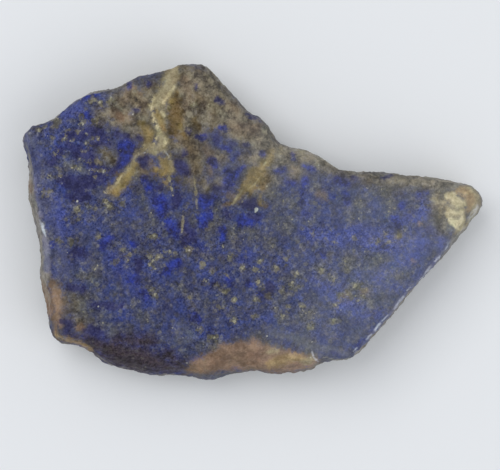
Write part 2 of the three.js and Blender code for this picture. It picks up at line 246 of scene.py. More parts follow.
        ((289, -71, 0.6), (280, -82, 1), (272, -92, 0.8)), ((95, -208, 0), (99, -220, 1.4), (105, -226, 1)),
        ((257, -104, 0.2), (250, -112, 0.6)), ((-194, 100, -0.2), (-188, 108, 0.4), (-174, 112, 0.6)),
        ((219, -151, 0.6), (210, -161, 0.4)), ((169, -204, 0.4), (163, -210, 0.6)),
        ((206, -165, 1.2), (198, -176, 1)), ((192, -183, 1), (184, -191, 0.6)),
        ((-150, 114, 0), (-142, 114, 0.5), (-136, 106, 0.5), (-133, 98, 0)),
        ((346, -8, 0), (335, -21, -0.4)),
    ),
    Mineral.TAUPE: (
        ((-210, 196, 8), (-196, 206, 10), (-184, 196, 10), (-178, 182, 7)), ((-179, 83, 3), (-171, 79, 3)),
        ((-226, 177, 5), (-214, 170, 9), (-202, 166, 6)), ((-110, 228, 7), (-104, 206, 9), (-108, 184, 6)),
        ((-169, 99, 4), (-163, 90, 7), (-159, 82, 4)), ((-24, -224, 5), (-10, -230, 7), (6, -233, 5)),
        ((-88, 204, 7), (-80, 192, 6)), ((-36, 188, 7), (-24, 178, 6)), ((-76, 122, 5), (-70, 110, 6)),
        ((-34, 153, 8), (-18, 148, 11), (2, 150, 8)), ((-94, -236, 8), (-84, -242, 5)),
        ((-70, 89, 4), (-68, 80, 4)), ((-322, -98, 5), (-318, -116, 10), (-313, -136, 12), (-316, -154, 8)),
        ((62, 89, 4), (68, 81, 4)), ((-40, 42, 3), (-32, 40, 3)), ((108, 46, 5), (116, 41, 6)),
        ((-126, 142, 5), (-112, 134, 9), (-102, 120, 10), (-94, 104, 8), (-93, 86, 4)),
    ),
    Mineral.LOAM: (
        ((-124, 140, 3), (-110, 135, 8), (-100, 120, 9), (-92, 104, 9), (-89, 88, 8)),
        ((-92, 210, 3), (-86, 196, 5), (-88, 178, 4), (-92, 160, 4)), ((-192, 203, 3), (-188, 194, 4)),
        ((-72, 196, 6), (-62, 182, 7), (-60, 164, 6), (-66, 152, 4)), ((-122, 70, -1), (-106, 68, 2)),
        ((-12, 50, 2), (-2, 46, 2)), ((-68, 92, 2), (-56, 84, 2)),
        ((-242, 114, 3), (-234, 108, 6), (-227, 98, 4)), ((-74, 194, 5), (-56, 184, 6)),
        ((-18, 142, 4), (-6, 134, 4)), ((-169, 96, 3), (-159, 83, 3)), ((-122, 92, 0), (-104, 82, 2)),
    ),
    Mineral.TAN: (
        ((-344, -96, 4), (-340, -114, 10), (-334, -127, 10), (-330, -147, 8)),
        ((-365, 64, 2), (-362, 50, 3)), ((-215, 173, 3), (-210, 166, 4)), ((-194, 218, 1), (-182, 208, 2)),
        ((-106, -242, 2), (-88, -234, 12), (-64, -228, 16), (-36, -220, 21), (0, -216, 23)),
        ((0, -216, 23), (30, -224, 20), (60, -228, 18), (90, -229, 12), (101, -227, 6)),
        ((-50, -202, 5), (-38, -204, 6)), ((-316, -154, 3), (-312, -166, 4)),
        ((-324, -108, 3), (-320, -124, 6), (-316, -140, 5), (-319, -178, 3)), ((2, -190, 2), (12, -202, 7)),
        ((-282, -172, 2), (-274, -171, 1.5)), ((176, -115, -0.5), (185, -112, 0.5)),
        ((143, -121, -0.5), (152, -119, 0.5)), ((-326, -106, 4), (-316, -116, 6), (-314, -132, 5)),
    ),
    Mineral.UMBER: (
        ((-123, 208, 5), (-126, 192, 10), (-125, 176, 13), (-125, 160, 12), (-127, 146, 8)),
        ((12, 76, 4), (20, 68, 6), (15, 56, 6)), ((-219, 79, 2), (-215, 74, 2.5)),
        ((-3, 52, 3), (8, 54, 3)), ((17, 28, 1), (22, 26, 1.5)), ((-96, 164, 4), (-88, 154, 4)),
        ((-34, 30, 2), (-46, 27, 2.5)), ((-206, 58, 1.5), (-209, 54, 2)), ((-209, 74, 1), (-216, 64, 1.5)),
        ((-224, 49, 2), (-218, 48, 2)), ((-154, 80, 2), (-148, 77, 2)), ((-118, 146, 0), (-108, 136, 2)),
        ((6, 67, 3), (12, 60, 4)),
    ),
    Mineral.OCHRE: (
        ((-158, 184, 4), (-154, 172, 6), (-150, 162, 5), (-146, 152, 4)), ((-132, 204, 3), (-133, 194, 4)),
        ((-179, 158, 4), (-173, 150, 8), (-167, 140, 8), (-169, 130, 5)), ((-118, 154, 3), (-112, 144, 2)),
        ((-172, 128, 3), (-168, 122, 4)), ((-156, 84, 3), (-148, 82, 5)), ((-142, 65, 2.5), (-139, 62, 2)),
        ((-149, 103, 4), (-143, 95, 8), (-139, 86, 9), (-144, 78, 5)), ((232, -26, 1.2), (238, -23, 1.6)),
        ((-190, 94, 3), (-198, 83, 6), (-205, 71, 9), (-213, 60, 9), (-223, 50, 7)),
        ((31, 112, 4), (25, 99, 6), (12, 84, 10), (3, 72, 13), (-6, 62, 10), (-15, 50, 6)),
        ((-22, 42, 3), (-28, 34, 2)), ((11, 40, 1), (13, 32, 1.5)),
    ),
    Mineral.RUST: (
        ((30, -229, 8), (56, -222, 7), (74, -220, 6), (86, -226, 4)), ((-148, 155, 1.5), (-145, 148, 1.5)),
        ((-318, -183, 2), (-300, -191, 2), (-280, -196, 2), (-264, -207, 2)), ((269, -2, 1), (273, -3, 1)),
        ((334, 50, 4), (345, 48, 8), (355, 42, 10), (356, 30, 8), (352, 20, 4)),
        ((258, -64, 0.4), (263, -65, 0.8)),
    ),
    Mineral.BONE: (
        ((-129, 250, 10), (-132, 232, 11.5), (-138, 216, 11), (-149, 200, 11), (-157, 189, 7)),
        ((-164, 187, 3), (-163, 174, 1.5), (-158, 160, 1.5), (-153, 150, 2)), ((332, -14, 4), (342, -8, 5)),
        ((-150, 182, 2), (-143, 173, 1)), ((334, -15, 1), (350, -1, 2), (366, 15, 3), (371, 28, 2)),
        ((-150, 142, 6), (-146, 130, 9), (-148, 120, 8)), ((-135, 104, 2), (-133, 92, 2), (-131, 82, 1.5)),
        ((-174, 122, 3.5), (-162, 122, 5)), ((320, 40, 8), (329, 28, 12), (326, 12, 11), (330, -2, 9)),
        ((-193, 99, 2), (-192, 104, 2), (-187, 109, 2.5), (-180, 111, 2.5)), ((84, -228, 5), (94, -224, 5)),
        ((-194, 94, 1.5), (-201, 85, 2), (-213, 70, 1), (-221, 60, 1.5), (-232, 50, 2.5)),
        ((-168, 115, 4), (-156, 113, 5)), ((46, 116, 2.5), (47, 110, 1.5)), ((26, -212, 3), (38, -209, 3)),
        ((293, 39, 1), (304, 31, 3), (314, 32, 4)), ((294, 36, -1), (306, 24, 1), (304, 8, -1.5)),
        ((316, 22, 5), (326, 22, 7), (338, 22, 6)), ((338, 32, 6), (339, 10, 6), (338, -4, 5)),
        ((348, 56, 1.5), (358, 53, 2.5), (367, 42, 2), (368, 32, 4), (362, 22, 6), (356, 12, 4)),
        ((360, 47, 2), (364, 38, 3)), ((76, 114, 1.5), (84, 112, 1.5)),
    ),
    Mineral.CREAM: (
        ((-125, 222, 0.8), (-131, 212, 1.4), (-138, 203, 1.4), (-144, 193, 1.8)),
        ((-160, 200, 1), (-166, 189, 1.6), (-164, 182, 1.2)), ((326, -6, 2), (336, -11, 2.5), (342, -4, 2)),
        ((-150, 179, 1), (-143, 172, 1.6)), ((318, 18, 3.5), (326, 13, 4), (333, 14, 3.5), (339, 16, 3)),
        ((-163, 176, 1.4), (-160, 166, 1.6), (-156, 156, 2), (-150, 146, 2.4)),
        ((-142, 136, 1), (-141, 127, 1.8), (-145, 122, 1)), ((350, 54, 1.5), (356, 52, 2)),
        ((-154, 140, 2), (-158, 129, 2)), ((316, 41, 4.5), (324, 42, 5), (331, 32, 8), (339, 29, 5)),
        ((-213, 73, 0.6), (-218, 66, 1.2), (-222, 61, 1.2)), ((-234, 54, 0.6), (-238, 48, 1)),
        ((315, 15, 2.5), (322, 3, 4.5), (329, -3, 6.5), (337, -2, 6), (340, 8, 3.5)),
    ),
    Mineral.THREAD: (
        ((-95, 72, 0.8), (-92, 48, 1.6), (-90.5, 22, 1.2)), ((-16, 52, 1), (-26, 40, 1.6), (-33, 27, 0.8)),
        ((-112.5, 17, 0.6), (-113.5, 2, 1.4), (-115, -20, 0.8)), ((30, 108, 0), (16, 88, 1), (4, 74, 0)),
        ((-138, 78, 1), (-134, 66, 1.6), (-131, 54, 1.6), (-129, 43, 0.8)), ((-8, 44, 0), (-18, 32, 0.8)),
        ((14, 76, 0), (4, 62, 1), (-8, 52, 0)),
    ),
    # Painted sheen: a faint pale haze over the tip half of the front face.
    Mineral.PALE_SHEEN: (
        ((340, 20, 80), (260, -40, 65), (180, -100, 80), (120, -170, 50)), ((280, 40, 30), (180, 20, 40)),
        ((90, 20, 0), (90, 90, 20), (30, 110, 20)),
    ),
    # Painted shade: dark spots for the shade inside small pits of the front face.
    Mineral.PIT_SHADE: (
        ((-190, 201, 2.5), (-189, 196, 2.5)), ((-121, -102, 1.5), (-126, -96, 1.2)),
        ((-10, 46, 2), (-8, 47, 1.5)), ((320, 9, 1.2), (320, 8, 1.2)), ((332, 7, 0.8), (334, 6, 0.6)),
        ((-168, 169, 1.5), (-163, 168, 2)), ((-258, 157, 1.2), (-244, 152, 1.5)),
        ((5, 46, 1.5), (6, 42, 1.5)), ((-27, -135, 1), (-22, -139, 1.2)), ((-12, -143, 1), (-5, -141, 1.2)),
    ),
}

# Single grains of (x, y, half width) in tenths of a millimetre: calcite and pyrite flecks, painted glints.
GRAINS: dict[Mineral, tuple[Point, ...]] = {
    Mineral.FLECK: (
        (-324, 135, 5), (-304, 134, 4.5), (-317, 112, 4), (-325, 127, 3), (-303, 148, 4.5),
        (-279, 147, 3.5), (-269, 142, 3.5), (-280, 170, 3), (-277, 160, 4), (-258, 163, 4.5),
        (-259, 197, 5.5), (-247, 193, 3.5), (-233, 198, 4), (-318, 164, 6), (-346, 147, 3.5),
        (-336, 153, 2.5), (-269, 128, 4.5), (-268, 115, 4), (-292, 132, 3), (-251, 134, 2.2), (-266, 99, 3),
        (-280, 102, 2.5), (-255, 83, 3), (-265, 84, 2.5), (-240, 81, 2.5), (-330, 73, 2.5), (-340, 48, 3.5),
        (-330, 47, 3), (-285, 20, 6), (-265, 24, 3.5), (-255, 21, 2.5), (-299, 7, 2.5), (-280, 5, 2.5),
        (-260, 5, 3), (-233, 26, 4), (-237, 32, 3), (-213, 31, 3.5), (-294, -32, 4.5), (-313, -33, 3.5),
        (-250, -22, 4), (-222, -64, 4.5), (-204, -62, 3.5), (-209, -46, 2.5), (-199, -52, 2.5),
        (-190, -45, 3), (-160, -23, 3.5), (-169, -24, 2.5), (-135, -49, 3), (-128, -50, 2.2),
        (-145, -53, 3), (-155, -56, 3.5), (-167, -58, 3), (-161, -64, 2.5), (-159, -75, 3),
        (-147, -73, 2.5), (-167, -70, 2.5), (-104, -47, 4.5), (-48, -40, 3), (-80, -70, 4.5), (-79, -54, 3),
        (-74, -97, 4), (-37, -57, 3.5), (-17, -75, 3.5), (-59, -104, 3.5), (-45, -115, 3), (-29, -126, 3.5),
        (-29, -160, 4.5), (-50, -138, 2.5), (-87, -177, 4.2), (-68, -188, 3.5), (-62, -188, 3),
        (5, -125, 4.5), (3, -153, 3), (-101, -123, 4), (-98, -133, 3), (-163, -111, 3), (-158, -117, 3),
        (10, -63, 4.5), (37, -74, 4.5), (2, -77, 3), (12, -80, 3), (71, -84, 3.5), (8, -97, 3),
        (110, -78, 5), (153, -76, 4), (129, -92, 5), (16, -105, 3.5), (27, -121, 2.5), (66, -101, 4),
        (74, -106, 3.5), (48, -112, 3.5), (58, -140, 4), (36, -142, 3.5), (80, -138, 4), (48, -155, 3),
        (94, -170, 4), (135, -135, 4), (132, -160, 4), (145, -121, 4.5), (151, -118, 3.5), (166, -103, 3),
        (183, -112, 3), (177, -120, 3), (166, -121, 3), (170, -128, 3), (236, -24, 3), (231, -26, 2.2),
        (222, -33, 3.5), (216, -18, 4), (247, -13, 3.5), (277, 26, 2.8), (203, -32, 3), (183, -46, 3),
        (54, -61, 3), (163, -24, 3), (-97, 189, 3.5), (-136, 188, 2.2), (119, -27, 2.2), (133, -33, 2.5),
        (99, -20, 2.5), (-40, -87, 3), (-66, -80, 2.2), (-290, 135, 2.5), (-276, 114, 2.5),
        (-234, 132, 2.2), (-305, 103, 2.5), (-293, 90, 3), (-279, 88, 4), (-256, 71, 2.5), (-311, 71, 3),
        (-316, 86, 2.2), (-250, 97, 3), (-273, 99, 3), (-320, 153, 2.5), (-241, 82, 2.8), (-262, 135, 3),
    ),
    # Painted highlights: tiny bright points where crystals catch the light.
    Mineral.PAINTED_GLINT: (
        (6, 20, 3.6), (4.5, 16, 2.2), (-38, 12.5, 1.8), (-49, 50, 1.1), (-48, 40, 1.3), (-194, 174, 2),
        (-279, 199, 2), (-309, 62, 2.2), (-268, 142, 1.8), (-15, -28.5, 1.4), (-1, -28.5, 1.2),
        (-50, -67, 1.2), (-300, -50, 1.5), (-130, 50, 1.5), (125, 33, 1.4), (107, 92, 1.8), (113, 90, 1.4),
        (103, -4, 1.4), (94, -220, 2), (96, -195, 2.2), (79, -193, 1.4), (-284, 33, 2.5), (-332, 139, 1.4),
        (-292, 130, 1.3), (-289, 84, 1.6), (-266, 50, 1.4), (-159, -22, 2), (-103, -46, 2.2),
        (-215, 115, 1.4), (-206, 132, 1.3), (143, -143, 1.6), (59, -158, 1.5), (179, -119, 1.4),
        (23, -185, 2), (-250, -137, 2), (-130, -172, 1.8), (-113, -188, 1.6), (-107, -229, 2),
        (161, 48, 1.3), (12, -30, 1.2), (-134, -48, 1.8), (361, 16, 1.6), (-17, 118, 1.5), (-304, 134, 1.4),
        (-296, 130, 1.5), (-276, 114, 1.5), (-241, 82, 1.6), (-251, 82, 1.5), (-290, 135, 1.3),
        (-256, 71, 1.4), (-297, 114, 1.6), (-234, 132, 1.4), (-311, 71, 1.6), (-265, 83, 2),
        (-250, 134, 1.7), (-227, 123, 1.3), (-279, 145, 1.4), (-247, 140, 1.2), (-294, 124, 1.4),
        (-273, 99, 1.5), (-222, 128, 1.2),
    ),
}


def seen(code: str) -> Colour:
    """Turns the colour that a place shows in the room's light into the colour that its shader takes.

    Args:
        code: The colour's screen code, six hexadecimal digits after a hash sign.

    Returns:
        Linear red, green and blue, without the sheen that the gloss adds, and an alpha of one.
    """
    shares = [int(code[i : i + 2], 16) / 255 for i in (1, 3, 5)]
    linear = [s / 12.92 if s <= 0.04045 else ((s + 0.055) / 1.055) ** 2.4 for s in shares]
    bare = [max(share - SHEEN, 0.001) for share in linear]
    return (bare[0], bare[1], bare[2], 1.0)


def smooth_step(values: np.ndarray, low: float, high: float) -> np.ndarray:
    """Rises smoothly from 0 where values are at low to 1 where they are at high."""
    share = np.clip((values - low) / (high - low), 0.0, 1.0)
    return share * share * (3.0 - 2.0 * share)


@dataclass(frozen=True)
class Wire:
    """A number, vector or colour on its way through a material, with the usual arithmetic.

    Attributes:
        shade: The material.
        socket: The node's output that gives it.
    """

    shade: "Shade"
    socket: bpy.types.NodeSocket

    def __add__(self, other: "Wire | float") -> "Wire":
        """Adds."""
        return self.shade.math("ADD", self, other)

    def __sub__(self, other: "Wire | float") -> "Wire":
        """Subtracts."""
        return self.shade.math("SUBTRACT", self, other)

    def __rsub__(self, other: float) -> "Wire":
        """Subtracts this from a number."""
        return self.shade.math("SUBTRACT", other, self)

    def __mul__(self, other: "Wire | float") -> "Wire":
        """Multiplies."""
        return self.shade.math("MULTIPLY", self, other)

    __radd__ = __add__
    __rmul__ = __mul__


@dataclass(frozen=True)
class Cloud:
    """A smooth noise.

    Attributes:
        size: How far apart its blotches are, in millimetres.
        detail: How many finer layers it has.
        rough: How strong the finer layers are.
        seed: Which noise.
    """

    size: float
    detail: float
    rough: float
    seed: float


class Shade:
    """A material's nodes, written as expressions."""

    def __init__(self, name: str) -> None:
        """Starts a material with an empty node tree.

        Args:
            name: The material's name.
        """
        self.material = bpy.data.materials.new(name)
        self.material.use_nodes = True
        self.tree = self.material.node_tree
        self.tree.nodes.clear()

    def node(
        self, kind: str, settings: dict | None = None, inputs: dict | None = None, output: str | int = 0
    ) -> Wire:
        """Adds a node.

        Args:
            kind: The node's type, without the prefix that all shader nodes share.
            settings: The node's own settings, such as an operation or a ramp's stops.
            inputs: Values or wires, by the socket's name or number.
            output: The name or number of the output that is wanted.

        Returns:
            The wire from that output.
        """
        made = self.tree.nodes.new("ShaderNode" + kind)
        for key, value in (settings or {}).items():
            if key == "stops":
                self._set_stops(made.color_ramp.elements, value)
            else:
                setattr(made, key, value)
        for key, value in (inputs or {}).items():
            if isinstance(value, Wire):
                self.tree.links.new(value.socket, made.inputs[key])
            else:
                made.inputs[key].default_value = value
        return Wire(self, made.outputs[output] if made.outputs else None)

    def math(self, operation: str, first: Wire | float, second: Wire | float = 0.0) -> Wire:
        """Adds one step of arithmetic on numbers."""
        return self.node("Math", {"operation": operation}, {0: first, 1: second})

    def mix(
        self, share: Wire | float, under: Wire | Colour, over: Wire | Colour, blend: str = "MIX"
    ) -> Wire:
        """Lays one colour over another.

        Args:
            share: How much of the upper colour shows, from 0 to 1.
            under: The lower colour.
            over: The upper colour, or a number for a grey.
            blend: How the two are mixed.

        Returns:
            The mixed colour.
        """
        settings = {"data_type": "RGBA", "blend_type": blend, "clamp_factor": True, "clamp_result": True}
        return self.node("Mix", settings, {0: share, 6: under, 7: over}, output=2)

    def rise(self, value: Wire, low: float, high: float) -> Wire:
        """Rises smoothly from 0 where the value is at low to 1 where it is at high."""
        settings = {"interpolation_type": "SMOOTHSTEP"}
        return self.node("MapRange", settings, {"Value": value, "From Min": low, "From Max": high})

    def field(self, name: str) -> Wire:
        """Reads one of the mesh's own numbers."""
        return self.node("Attribute", {"attribute_name": name}, output="Fac")

    def near(self, mineral: Mineral, low: float, high: float) -> Wire:
        """Falls from 1 where a mineral's strokes are low millimetres away to 0 where they are high."""
        return 1.0 - self.rise(self.field(mineral.value), low, high)

    def raw_cloud(self, place: Wire, cloud: Cloud, output: str | int = 0) -> Wire:
        """Reads a smooth noise as it comes.

        Args:
            place: Where, in millimetres.
            cloud: The noise.
            output: The name or number of the output that is wanted.

        Returns:
            Noise that swings about a half.
        """
        inputs = {
            "Vector": place,
            "W": cloud.seed,
            "Scale": 1 / cloud.size,
            "Detail": cloud.detail,
            "Roughness": cloud.rough,
        }
        return self.node("TexNoise", {"noise_dimensions": "4D"}, inputs, output)

    def cloud(self, place: Wire, cloud: Cloud) -> Wire:
        """Reads a smooth noise that swings about zero, mostly between plus and minus a half."""
        return (self.raw_cloud(place, cloud) - 0.5) * 1.8

    def cells(self, place: Wire, size: float) -> "Grains":
        """Divides the stone into crystal grains.

        Args:
            place: Where, in millimetres.
            size: About how far apart the grains are, in millimetres.

        Returns:
            The grain at that place.
        """
        gap = self.node("TexVoronoi", {}, {"Vector": place, "Scale": 1 / size})
        colour = Wire(self, gap.socket.node.outputs["Color"])
        luck, tone, tint = (self.node("SeparateColor", {}, {0: colour}, output=i) - 0.5 for i in range(3))
        return Grains(gap, luck, tone, tint)

    def ramp(self, value: Wire, stops: Stops) -> Wire:
        """Looks a colour up between stops of (place, screen code)."""
        return self.node("ValToRGB", {"stops": stops}, {0: value})

    def _set_stops(self, elements: bpy.types.ColorRampElements, stops: Stops) -> None:
        """Sets a ramp's stops.

        Args:
            elements: The ramp's own stops.
            stops: What they become, as (place, screen code).
        """
        while len(elements) < len(stops):
            elements.new(0.5)
        for element, (place, code) in zip(elements, stops):
            element.position = place
            element.color = seen(code)

    def finish(self, inputs: dict) -> bpy.types.Material:
        """Ends the material in one surface shader with those inputs, and returns it."""
        surface = self.node("BsdfPrincipled", inputs=inputs)
        self.node("OutputMaterial", inputs={"Surface": surface})
        return self.material


@dataclass(frozen=True)
class Grains:
    """The grains of a crystal mass: where a place is in its grain, and the grain's own numbers.

    Attributes:
        gap: Distance from the grain's middle, in grain widths.
        luck: A number of the grain's own, between plus and minus a half.
        tone: Another.
        tint: Another.
    """

    gap: Wire
    luck: Wire
    tone: Wire
    tint: Wire


@dataclass(frozen=True)
class Rough:
    """The unevenness that every mineral shares.

    Attributes:
        swirl: Smooth noise in large blotches.
        crumb: Smooth noise in small blotches.
        grain: A number of its own for each crystal grain, which breaks borders up.
        tone: Another, which makes some grains darker.
    """

    swirl: Wire
    crumb: Wire
    grain: Wire
    tone: Wire


@dataclass(frozen=True)
class Tint:
    """How one mineral shows where its strokes lie.

    Attributes:
        dark: Screen code of its darker grains.
        light: Screen code of its lighter grains.
        cover: How much of the stone beneath it hides, from 0 to 1.
        soft: How wide its border is, in millimetres.
        wander: How far the border wanders, in millimetres.
        grit: How far single grains reach across the border, in millimetres.
        reach: How far beyond the strokes the border lies, in millimetres.
    """

    dark: str
    light: str
    cover: float = 0.9
    soft: float = 0.3
    wander: float = 0.6
    grit: float = 0.5
    reach: float = 0.0


Layers = tuple[tuple[Mineral, Tint], ...]
Shares = tuple[tuple[Mineral, tuple[float, float, float]], ...]


@dataclass(frozen=True)
class LapisFinish:
    """The stone's finish: a blue ground dusted with olive grains, with the minerals laid over it in order.

    Attributes:
        ground: Stops of the blue ground, from its dullest to its purest.
        haze: The dust between the grains.
        haze_cover: How much of the ground it hides where the grains lie thickest.
        grains: Stops of the olive grains, from the brownest to the palest.
        grain_cover: How much of the ground a grain hides.
        sparks: Stops of the small pale grains.
        spark_cover: How much of the stone beneath a pale grain hides.
        thickness: How thickly the grains lie where no mineral changes that.
        crowding: Where they lie thicker or thinner: how far from a mineral's strokes that is full and
            where it ends, in millimetres, and by how much.
        calm: How strong the fine speckle is where no mineral changes that.
        speckle: Where it is stronger, in the same way.
        lower: The minerals that lie under the olive grains, from the lowest up.
        upper: The minerals that lie over them, from the lowest up.
        rind: Stops of the weathered rind, lightened as painted light against the shade on the steep sides.
        rind_cover: How much of the stone the rind hides where it is full.
        warm: What the colours are multiplied by where iron stains the stone most.
        cool: What they are multiplied by where it stains it least.
        swirl: The noise of the large blotches.
        crumb: That of the small ones.
        speck: The finest noise.
        drift: The noise that makes the blue purer or duller.
        patch: That which breaks the rind into patches.
        flock: That which gathers the olive grains into flocks.
        stain: That of the iron stains.
        bend: That which bends the larger grains.
        bend_reach: How far it bends them, in millimetres.
        sand_width: Width of the finest crystal grains, in millimetres.
        seed_width: Width of the pale grains, in millimetres.
        pebble_width: Width of the olive grains, in millimetres.
        dullness: Roughness of the surface between the pale grains.
        gloss: Strength of the highlights.
        relief: Depth of the finest unevenness, in millimetres.
        relief_strength: How much of it the light shows, from 0 to 1.
    """

    ground: Stops = (
        (0.1, "#242542"),
        (0.35, "#2b305c"),
        (0.6, "#2d3973"),
        (0.9, "#2f408c"),
    )
    haze: str = "#4a4c4c"
    haze_cover: float = 0.85
    grains: Stops = (
        (0.1, "#353235"),
        (0.35, "#484541"),
        (0.6, "#5f5b4f"),
        (0.8, "#6f6c5f"),
        (0.95, "#7f7d70"),
    )
    grain_cover: float = 0.5
    sparks: Stops = (
        (0.1, "#7a785e"),
        (0.9, "#aeaa92"),
    )
    spark_cover: float = 0.55
    thickness: float = 0.34
    crowding: Shares = (
        (Mineral.OLIVE, (-0.6, 1.4, 0.3)),
        (Mineral.FLECK, (-0.3, 0.35, 0.3)),
        (Mineral.ROYAL, (-0.3, 0.8, -0.25)),
        (Mineral.NAVY, (-0.3, 1.0, -0.2)),
        (Mineral.AZURE, (-0.6, 1.2, -0.12)),
        (Mineral.DUSK_SHADOW, (-0.5, 1.0, -0.3)),
        (Mineral.SLATE_SHEEN, (-0.6, 2.0, -0.1)),
        (Mineral.TAN, (-0.5, 0.5, -0.2)),
    )
    calm: float = 0.65
    speckle: Shares = (
        (Mineral.FLECK, (0.0, 2.5, 0.4)),
        (Mineral.ROCK, (-0.5, 1.5, 0.2)),
        (Mineral.OLIVE, (0.0, 3.0, 0.15)),
    )
    lower: Layers = (
        # Painted sheen: a pale slate haze over facets that catch the light.
        (Mineral.SLATE_SHEEN, Tint("#4a4d6c", "#585b7a", 0.5, 1.4, 0.8, 0.5)),
        (Mineral.AZURE, Tint("#343e80", "#43509c", 0.55, 1.2, 1.0, 1.0)),
        # Dark tone of the lower left: partly the stone's own, partly painted shade where the surface curves
        # away.
        (Mineral.DUSK_SHADOW, Tint("#2e2426", "#463a38", 0.9, 1.6, 1.0, 0.8)),
        (Mineral.ROYAL, Tint("#12143a", "#2236a4", 0.75, 0.4, 0.9, 1.4, -0.15)),
        (Mineral.NAVY, Tint("#1a183e", "#26245a", 0.9, 0.6, 0.9, 1.0)),
    )
    upper: Layers = (
        (Mineral.ROCK, Tint("#4a453a", "#66604e", 0.5, 1.5, 1.5, 1.5, 1.2)),
        (Mineral.OCHRE, Tint("#4e4838", "#6a6248", 0.5, 0.9, 1.2, 1.5, 0.5)),
        (Mineral.BONE, Tint("#544d3c", "#6e664c", 0.6, 1.0, 1.2, 1.5, 0.6)),
        (Mineral.TAN, Tint("#4e4a42", "#6c6454", 0.5, 1.0, 1.2, 1.5, 0.6)),
        (Mineral.GREY, Tint("#535458", "#707276", 0.6, 0.7, 0.6, 1.0)),
        (Mineral.CRUST, Tint("#6c685f", "#989288", 0.85, 0.4, 0.4, 0.8)),
        (Mineral.LILAC, Tint("#62658a", "#7c7f9c", 0.6, 0.3, 0.4, 0.5)),
        (Mineral.ROCK, Tint("#40392d", "#8e846c", 0.8, 1.0, 1.2, 1.5)),
        (Mineral.TAUPE, Tint("#54483c", "#86755f", 0.75, 0.8, 0.9, 1.0)),
        (Mineral.LOAM, Tint("#3a3228", "#625640", 0.8, 0.7, 0.9, 1.0)),
        (Mineral.TAN, Tint("#735c49", "#967b63", 0.85, 0.6, 0.9, 0.8)),
        (Mineral.NAVY, Tint("#20204a", "#343662", 0.78, 0.35, 0.6, 0.9)),
        (Mineral.ROYAL, Tint("#1c2048", "#2c3a90", 0.75, 0.35, 0.6, 0.9)),
        # Pale chalky marks, and a dashed painted highlight along the lower right edge where it catches the
        # light.
        (Mineral.CHALK_AND_SHINE, Tint("#a8acb8", "#d4d8e4", 0.8, 0.15, 0.15, 0.3)),
        (Mineral.UMBER, Tint("#46391c", "#705b34", 0.85, 0.5, 0.5, 0.8)),
        (Mineral.OCHRE, Tint("#685a36", "#968352", 0.82, 0.5, 0.6, 0.8)),
        (Mineral.RUST, Tint("#8f764f", "#bda374", 0.8, 0.5, 0.6, 0.8)),
        (Mineral.BONE, Tint("#85795c", "#aca282", 0.82, 0.5, 0.6, 0.8)),
        (Mineral.CREAM, Tint("#b0a47c", "#dcd0a8", 0.76, 0.28, 0.35, 0.6)),
        (Mineral.THREAD, Tint("#7f785f", "#aaa27f", 0.7, 0.15, 0.12, 0.5)),
        (Mineral.FLECK, Tint("#57533f", "#8e8768", 0.6, 0.3, 1.1, 2.4, -0.1)),
        # Painted shade: dark spots for the shade inside small pits of the front face.
        (Mineral.PIT_SHADE, Tint("#1c1a1c", "#2e2a2c", 0.75, 0.15, 0.12, 0.2)),
        # Painted highlights: tiny bright points where crystals catch the light.
        (Mineral.PAINTED_GLINT, Tint("#9a9a96", "#cccac0", 0.85, 0.08, 0.08, 0.1, -0.06)),
        # Painted sheen: a faint pale haze over the tip half of the front face.
        (Mineral.PALE_SHEEN, Tint("#c4cbd4", "#ccd2da", 0.11, 14.0, 1.5, 0.0)),
    )
    # The rind's own colour, lightened with painted light so that the steep rim and back don't read as
    # shaded.
    rind: Stops = (
        (0.15, "#625a4e"),
        (0.4, "#7e7766"),
        (0.65, "#918e82"),
        (0.9, "#aaa38e"),
    )
    rind_cover: float = 0.75
    warm: Colour = (1.07, 0.99, 0.95, 1.0)
    cool: Colour = (0.94, 1.02, 0.99, 1.0)
    swirl: Cloud = Cloud(1.7, 2.0, 0.6, 1.0)
    crumb: Cloud = Cloud(0.75, 2.0, 0.6, 2.0)
    speck: Cloud = Cloud(0.28, 1.0, 0.8, 3.0)
    drift: Cloud = Cloud(3.6, 1.0, 0.5, 4.0)
    patch: Cloud = Cloud(4.5, 3.0, 0.6, 6.0)
    flock: Cloud = Cloud(2.6, 1.0, 0.5, 7.0)
    stain: Cloud = Cloud(1.9, 2.0, 0.6, 9.0)
    bend: Cloud = Cloud(0.4, 1.0, 0.5, 11.0)
    bend_reach: float = 0.7
    sand_width: float = 0.3
    seed_width: float = 0.45
    pebble_width: float = 0.7
    dullness: float = 0.6
    gloss: float = 0.35
    relief: float = 0.1
    relief_strength: float = 0.5

    def material(self) -> bpy.types.Material:
        """Builds the material from the stone's own coordinates and fields.

        Returns:
            The material.
        """
        shade = Shade("lapis")
        metres = shade.node("TexCoord", output="Object")
        place = shade.node("VectorMath", {"operation": "SCALE"}, {0: metres, "Scale": 1 / MM})
        swirl, crumb, grain, drift, flock, stain = (
            shade.cloud(place, cloud)
            for cloud in (self.swirl, self.crumb, self.speck, self.drift, self.flock, self.stain)
        )
        bent = self._bend(shade, place)
        sand = shade.cells(place, self.sand_width)
        seed = shade.cells(bent, self.seed_width)
        pebble = shade.cells(bent, self.pebble_width)
        rough = Rough(swirl, crumb, pebble.luck * 0.8 + sand.luck * 0.2, sand.tone * 0.2 + grain * 0.25)

        # The blue ground, the dust on it and the minerals that lie under the olive grains.
        blue = 0.5 + swirl * 0.5 + drift * 0.4 + crumb * 0.3 + pebble.tint * 0.3
        crowd = self._gather(shade, self.thickness, self.crowding) + flock * 0.65 + swirl * 0.35
        colour = shade.mix(crowd * self.haze_cover, shade.ramp(blue, self.ground), seen(self.haze))
        colour = self._lay(shade, colour, self.lower, rough)

